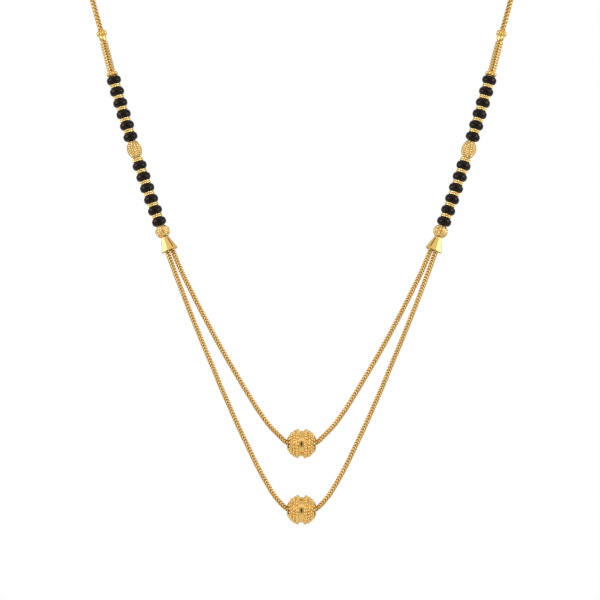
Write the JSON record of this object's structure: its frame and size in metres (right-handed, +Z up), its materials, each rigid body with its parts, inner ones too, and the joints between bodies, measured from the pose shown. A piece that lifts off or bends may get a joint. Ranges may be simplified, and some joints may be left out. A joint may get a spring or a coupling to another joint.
{
  "type": "mangalsutra necklace",
  "caption": "Gold and black-bead necklace: two beaded strings, flared cones, two woven front strands with a granulated ball on each, and a back chain with a hook.",
  "frame": {"origin": "the middle of the clasp, where the necklace rests on the nape", "axes": "+Z up with the necklace hanging as worn, +X to the wearer's left as the viewer in front sees it on the right, -Y forward towards the viewer"},
  "size_m": [0.1126, 0.0983, 0.1778],
  "materials": {
    "polished_gold": "high polish yellow gold",
    "cut_gold": "diamond-cut and grained yellow gold",
    "woven_gold": "fine woven yellow gold chain",
    "granulated_gold": "yellow gold with soldered granules and polished bands",
    "black_glass": "glossy opaque black glass"
  },
  "bodies": {
    "root": {"back_chain_left": "woven_gold", "end_ring_left": "polished_gold", "ball_cap_left": "polished_gold", "woven_sleeve_left": "woven_gold", "flower_cap_left": "polished_gold", "thread_left": "polished_gold", "upper_spacers_left": "cut_gold", "lower_spacers_left": "cut_gold", "oval_bead_left": "cut_gold", "round_bead_left": "cut_gold", "cone_left": "polished_gold", "back_chain_right": "woven_gold", "end_ring_right": "polished_gold", "ball_cap_right": "polished_gold", "woven_sleeve_right": "woven_gold", "flower_cap_right": "polished_gold", "thread_right": "polished_gold", "upper_spacers_right": "cut_gold", "lower_spacers_right": "cut_gold", "oval_bead_right": "cut_gold", "round_bead_right": "cut_gold", "cone_right": "polished_gold", "black_bead_left_01": "black_glass", "black_bead_left_02": "black_glass", "black_bead_left_03": "black_glass", "black_bead_left_04": "black_glass", "black_bead_left_05": "black_glass", "black_bead_left_06": "black_glass", "black_bead_left_07": "black_glass", "black_bead_left_08": "black_glass", "black_bead_left_09": "black_glass", "black_bead_left_10": "black_glass", "black_bead_left_11": "black_glass", "black_bead_left_12": "black_glass", "black_bead_right_01": "black_glass", "black_bead_right_02": "black_glass", "black_bead_right_03": "black_glass", "black_bead_right_04": "black_glass", "black_bead_right_05": "black_glass", "black_bead_right_06": "black_glass", "black_bead_right_07": "black_glass", "black_bead_right_08": "black_glass", "black_bead_right_09": "black_glass", "black_bead_right_10": "black_glass", "black_bead_right_11": "black_glass", "black_bead_right_12": "black_glass", "strand_inner": "woven_gold", "strand_outer": "woven_gold", "ball_upper": "granulated_gold", "ball_lower": "granulated_gold", "clasp": "polished_gold"}
  },
  "joints": []
}
